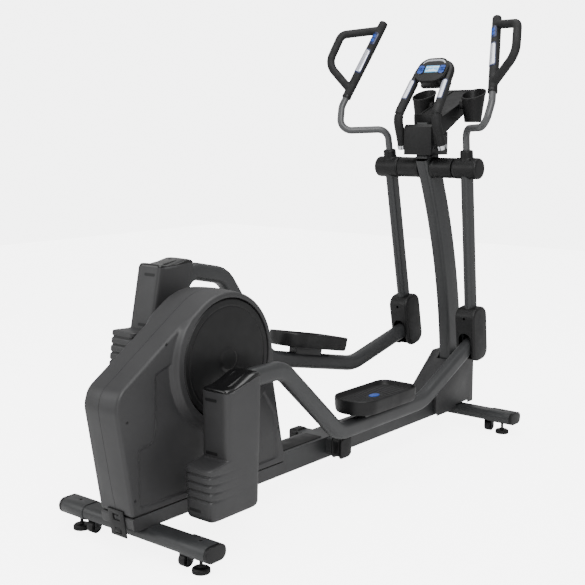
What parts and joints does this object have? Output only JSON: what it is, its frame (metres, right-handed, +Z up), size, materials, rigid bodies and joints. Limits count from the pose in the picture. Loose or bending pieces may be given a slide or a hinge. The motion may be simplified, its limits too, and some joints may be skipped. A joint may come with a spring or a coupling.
{
  "type": "elliptical trainer",
  "caption": "Rear-drive elliptical trainer: drive housing with crank discs, gooseneck pedal arms, swing arms with handlebars, curved mast, console and levelling feet.",
  "frame": {"origin": "on the floor, in the middle of the overall length and width", "axes": "+X forward, the way the user faces; +Y to the user's left; +Z up"},
  "size_m": [1.928, 0.811, 1.6177],
  "materials": {
    "painted_steel": "satin powder coat",
    "charcoal_shell": "moulded, matt",
    "black_plastic": "moulded, matt",
    "black_rubber": "soft, matt",
    "bright_steel": "machined",
    "bright_trim": "polished",
    "blue_keys": "satin",
    "display_glass": "lit display",
    "circuit_board": "lacquered"
  },
  "bodies": {
    "frame": {"main_frame": "painted_steel", "rear_stabilizer": "painted_steel", "front_stabilizer": "painted_steel", "frame_end_caps": "black_plastic", "levelling_feet": "black_rubber", "housing_right_shell": "charcoal_shell", "housing_left_shell": "charcoal_shell", "housing_base_skirts": "charcoal_shell", "power_inlet_panel": "black_plastic", "front_cowls": "charcoal_shell", "mast": "painted_steel", "pivot_shaft": "bright_steel", "pivot_sleeves": "black_plastic", "console_neck_cover": "black_plastic", "fixed_handlebar": "black_rubber", "fixed_grip_sensors": "bright_trim", "handlebar_clamps": "bright_trim", "console_pod": "black_plastic", "console_display": "display_glass", "console_faceplate": "black_plastic", "control_board": "circuit_board", "reading_rack": "black_plastic", "cup_holders": "charcoal_shell", "crank_bearings": "bright_steel", "drive_belts": "black_rubber", "casing_screws": "bright_steel"},
    "crank": {"crankshaft": "bright_steel", "crank_discs": "black_plastic", "drive_pulley": "bright_steel"},
    "step_up_stage": {"step_up_pulley": "bright_steel"},
    "generator": {"generator_flywheel": "bright_steel"},
    "front_rollers": {"front_rollers": "black_rubber"},
    "rear_rollers": {"rear_rollers": "black_rubber"},
    "power_switch": {"power_switch": "black_plastic"},
    "console_left_keys": {"console_left_keys": "blue_keys"},
    "console_right_keys": {"console_right_keys": "blue_keys"},
    "right_swing": {"right_swing_arm": "painted_steel", "right_hub_cover": "black_plastic", "right_lower_joint_cover": "black_plastic", "right_handlebar": "painted_steel", "right_handle_grip": "black_rubber", "right_grip_sensor": "bright_trim"},
    "right_pedal": {"right_pedal_arm": "painted_steel", "right_link_cover": "charcoal_shell", "right_link_cover_cap": "black_plastic", "right_footplate": "black_plastic", "right_footplate_tread": "black_rubber"},
    "right_handle_key": {"right_handle_key": "blue_keys"},
    "left_swing": {"left_swing_arm": "painted_steel", "left_hub_cover": "black_plastic", "left_lower_joint_cover": "black_plastic", "left_handlebar": "painted_steel", "left_handle_grip": "black_rubber", "left_grip_sensor": "bright_trim"},
    "left_pedal": {"left_pedal_arm": "painted_steel", "left_link_cover": "charcoal_shell", "left_link_cover_cap": "black_plastic", "left_footplate": "black_plastic", "left_footplate_tread": "black_rubber"},
    "left_handle_key": {"left_handle_key": "blue_keys"}
  },
  "joints": [
    {"name": "crank_spin", "type": "hinge", "parent": "frame", "child": "crank", "pos_m": [-0.535, 0, 0.519], "axis": [0, 1, 0], "continuous": true},
    {"name": "step_up_spin", "type": "hinge", "parent": "frame", "child": "step_up_stage", "pos_m": [-0.793, 0, 0.39], "axis": [0, 1, 0], "continuous": true},
    {"name": "generator_spin", "type": "hinge", "parent": "frame", "child": "generator", "pos_m": [-0.618, 0, 0.262], "axis": [0, 1, 0], "continuous": true},
    {"name": "front_roller_spin", "type": "hinge", "parent": "frame", "child": "front_rollers", "pos_m": [0.876, 0, 0.022], "axis": [0, 1, 0], "continuous": true},
    {"name": "rear_roller_spin", "type": "hinge", "parent": "frame", "child": "rear_rollers", "pos_m": [-0.833, 0, 0.022], "axis": [0, 1, 0], "continuous": true},
    {"name": "right_arm_swing", "type": "hinge", "parent": "frame", "child": "right_swing", "pos_m": [0.688, 0, 1.049], "axis": [0, -1, 0], "range_deg": [-10, 14]},
    {"name": "left_arm_swing", "type": "hinge", "parent": "frame", "child": "left_swing", "pos_m": [0.688, 0, 1.049], "axis": [0, -1, 0], "range_deg": [-14, 10]},
    {"name": "right_pedal_tilt", "type": "hinge", "parent": "right_swing", "child": "right_pedal", "pos_m": [0.75739, 0, 0.37758], "axis": [0, -1, 0], "range_deg": [-14, 10]},
    {"name": "left_pedal_tilt", "type": "hinge", "parent": "left_swing", "child": "left_pedal", "pos_m": [0.82007, 0, 0.38705], "axis": [0, -1, 0], "range_deg": [-10, 14]},
    {"name": "console_left_press", "type": "slide", "parent": "frame", "child": "console_left_keys", "axis": [0.8, 0, -0.6], "range_m": [0, 0.001], "stiffness_N_per_m": 400},
    {"name": "left_key_press", "type": "slide", "parent": "left_swing", "child": "left_handle_key", "axis": [0.9076, 0.1709, -0.3834], "range_m": [0, 0.001], "stiffness_N_per_m": 400},
    {"name": "console_right_press", "type": "slide", "parent": "frame", "child": "console_right_keys", "axis": [0.8, 0, -0.6], "range_m": [0, 0.001], "stiffness_N_per_m": 400},
    {"name": "right_key_press", "type": "slide", "parent": "right_swing", "child": "right_handle_key", "axis": [0.8677, -0.1709, -0.4668], "range_m": [0, 0.001], "stiffness_N_per_m": 400},
    {"name": "power_rocker", "type": "hinge", "parent": "frame", "child": "power_switch", "pos_m": [-0.90012, 0, 0.07933], "axis": [0, 1, 0], "range_deg": [-9, 9]}
  ],
  "couplings": [
    {"joint": "step_up_spin", "follows": "crank_spin", "ratio": 5},
    {"joint": "generator_spin", "follows": "crank_spin", "ratio": 19.792},
    {"joint": "left_arm_swing", "follows": "right_arm_swing", "ratio": -1},
    {"joint": "right_pedal_tilt", "follows": "right_arm_swing", "ratio": -1},
    {"joint": "left_pedal_tilt", "follows": "right_arm_swing", "ratio": 1}
  ]
}
